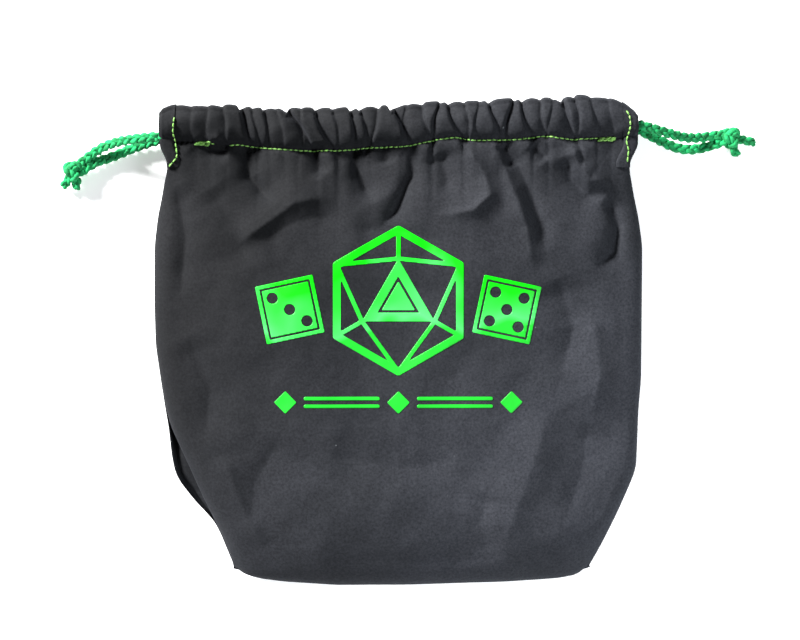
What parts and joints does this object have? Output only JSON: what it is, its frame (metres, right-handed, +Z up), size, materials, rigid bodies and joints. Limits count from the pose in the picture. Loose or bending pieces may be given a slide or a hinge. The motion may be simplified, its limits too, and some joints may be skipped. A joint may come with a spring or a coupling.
{
  "type": "drawstring dice bag",
  "caption": "Flat-lying cloth pouch with a boxed base, a printed front, and two cords in the mouth's casings that pull to opposite sides to cinch it shut.",
  "frame": {"origin": "on the table under the middle of the bag, which lies on its back", "axes": "+X to the right along the mouth, +Y from the base towards the mouth, +Z up out of the printed front"},
  "size_m": [0.3155, 0.2198, 0.0263],
  "materials": {
    "black_cotton": "plain weave, matt, slightly faded",
    "green_thread": "twisted polyester thread",
    "green_print": "heat-pressed film, satin",
    "green_cord": "braided yarn, slightly fuzzy"
  },
  "bodies": {
    "bag": {"front_panel": "black_cotton", "back_panel": "black_cotton", "base_panel": "black_cotton", "front_casing": "black_cotton", "back_casing": "black_cotton", "front_casing_topstitch": "green_thread", "back_casing_topstitch": "green_thread", "front_casing_backtacks": "green_thread", "back_casing_backtacks": "green_thread", "left_side_seam_allowance": "black_cotton", "right_side_seam_allowance": "black_cotton", "left_corner_seam_allowance": "black_cotton", "right_corner_seam_allowance": "black_cotton", "bottom_seam_allowance": "black_cotton", "emblem_centre": "green_print", "emblem_left": "green_print", "emblem_right": "green_print", "emblem_band": "green_print"},
    "left_mouth_end": {"left_front_hem": "black_cotton", "left_back_hem": "black_cotton", "left_hem_topstitch": "green_thread"},
    "right_mouth_end": {"right_front_hem": "black_cotton", "right_back_hem": "black_cotton", "right_hem_topstitch": "green_thread"},
    "left_drawstring": {"left_drawstring_loop": "green_cord", "left_front_tail": "green_cord", "left_back_tail": "green_cord", "left_knot": "green_cord", "left_cord_ends": "green_cord"},
    "right_drawstring": {"right_drawstring_loop": "green_cord", "right_front_tail": "green_cord", "right_back_tail": "green_cord", "right_knot": "green_cord", "right_cord_ends": "green_cord"}
  },
  "joints": [
    {"name": "left_drawstring_pull", "type": "slide", "parent": "bag", "child": "left_drawstring", "axis": [-1, 0, 0], "range_m": [0, 0.05], "deforming": ["left_drawstring_loop"]},
    {"name": "right_drawstring_pull", "type": "slide", "parent": "bag", "child": "right_drawstring", "axis": [1, 0, 0], "range_m": [0, 0.05], "deforming": ["right_drawstring_loop"]},
    {"name": "right_mouth_gather", "type": "slide", "parent": "bag", "child": "right_mouth_end", "axis": [-1, 0, 0], "range_m": [0, 0.05]},
    {"name": "left_mouth_gather", "type": "slide", "parent": "bag", "child": "left_mouth_end", "axis": [1, 0, 0], "range_m": [0, 0.05]}
  ],
  "couplings": [
    {"joint": "right_mouth_gather", "follows": "left_drawstring_pull", "ratio": 1},
    {"joint": "left_mouth_gather", "follows": "right_drawstring_pull", "ratio": 1}
  ]
}
